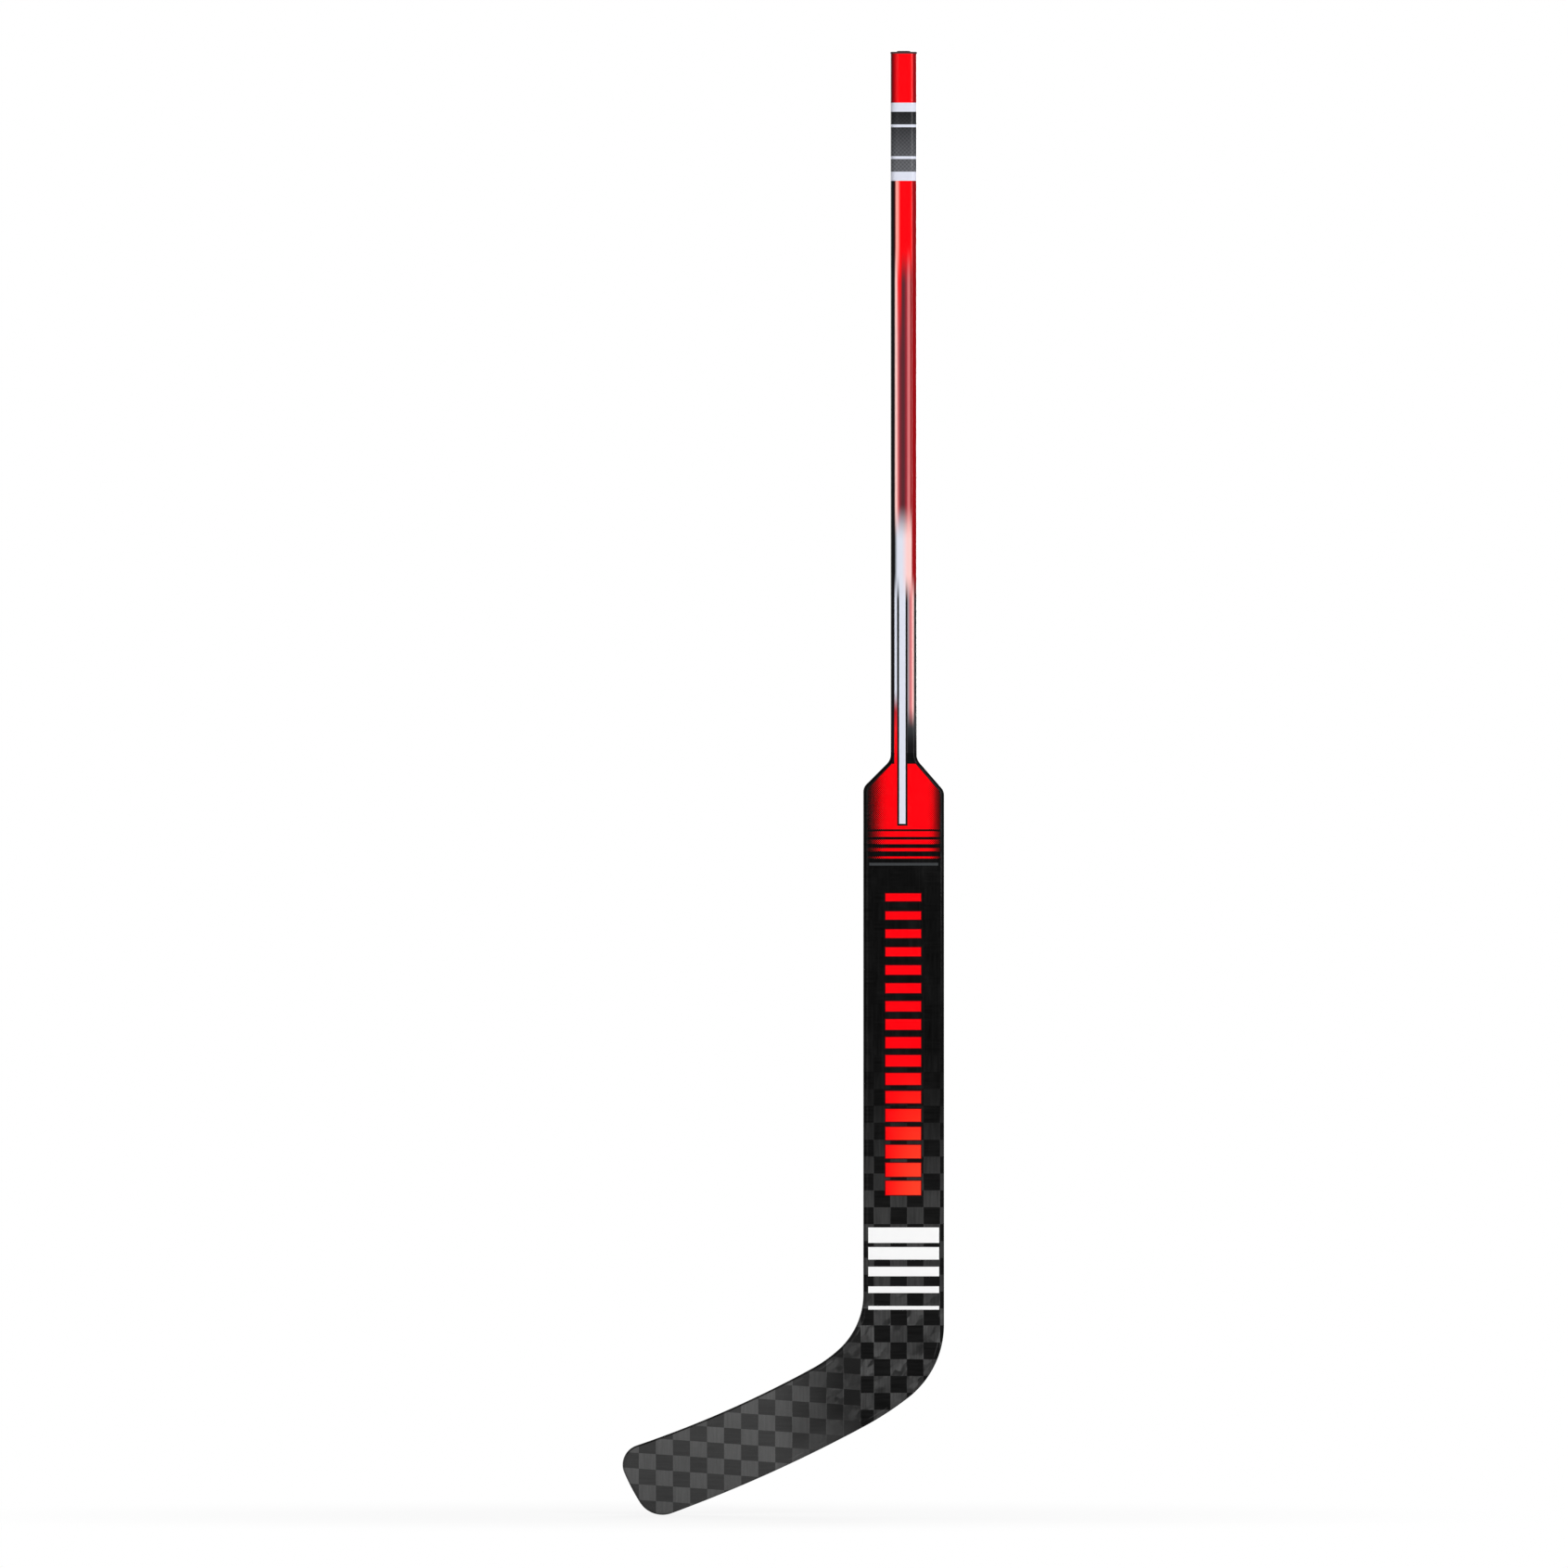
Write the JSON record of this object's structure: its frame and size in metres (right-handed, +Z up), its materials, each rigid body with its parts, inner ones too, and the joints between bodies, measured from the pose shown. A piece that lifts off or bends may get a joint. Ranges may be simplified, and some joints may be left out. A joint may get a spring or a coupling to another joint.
{
  "type": "hockey goalie stick",
  "caption": "Composite hockey goalie stick: rectangular hollow shaft, wide flat paddle and a curved, open-faced blade, built as bonded carbon skins over foam cores.",
  "frame": {"origin": "on the shaft's axis at the neck, where the shaft meets the paddle's shoulders and the blocker hand holds the stick", "axes": "+Z up along the shaft to the butt, +X towards the heel side, +Y away from the backhand face, the way the blade's toe curves"},
  "size_m": [0.354, 0.0466, 1.613],
  "materials": {
    "shaft_lacquer": "gloss lacquer over carbon tube",
    "paddle_weave": "spread-tow carbon cloth under clear coat",
    "blade_weave": "spread-tow carbon cloth under clear coat",
    "laminate": "cured carbon laminate",
    "web": "cured carbon web",
    "plug": "moulded plastic",
    "light_foam": "closed-cell foam",
    "dense_foam": "dense closed-cell foam",
    "tongue": "laminated hardwood"
  },
  "bodies": {
    "root": {"butt_plug": "plug", "shaft_tube": "shaft_lacquer", "neck_spigot": "laminate", "spigot_dam": "light_foam", "shoulder_block_left": "dense_foam", "shoulder_block_right": "dense_foam", "paddle_rib_left": "web", "paddle_rib_right": "web", "paddle_core_left": "light_foam", "paddle_core_right": "light_foam", "paddle_core_centre": "light_foam", "heel_block": "dense_foam", "blade_tongue": "tongue", "blade_rib": "web", "blade_core_upper": "light_foam", "blade_core_lower": "light_foam", "paddle_front_laminate": "laminate", "paddle_back_laminate": "laminate", "blade_front_laminate": "laminate", "blade_back_laminate": "laminate", "paddle_front_weave": "paddle_weave", "paddle_back_weave": "paddle_weave", "blade_front_weave": "blade_weave", "blade_back_weave": "blade_weave"}
  },
  "joints": []
}
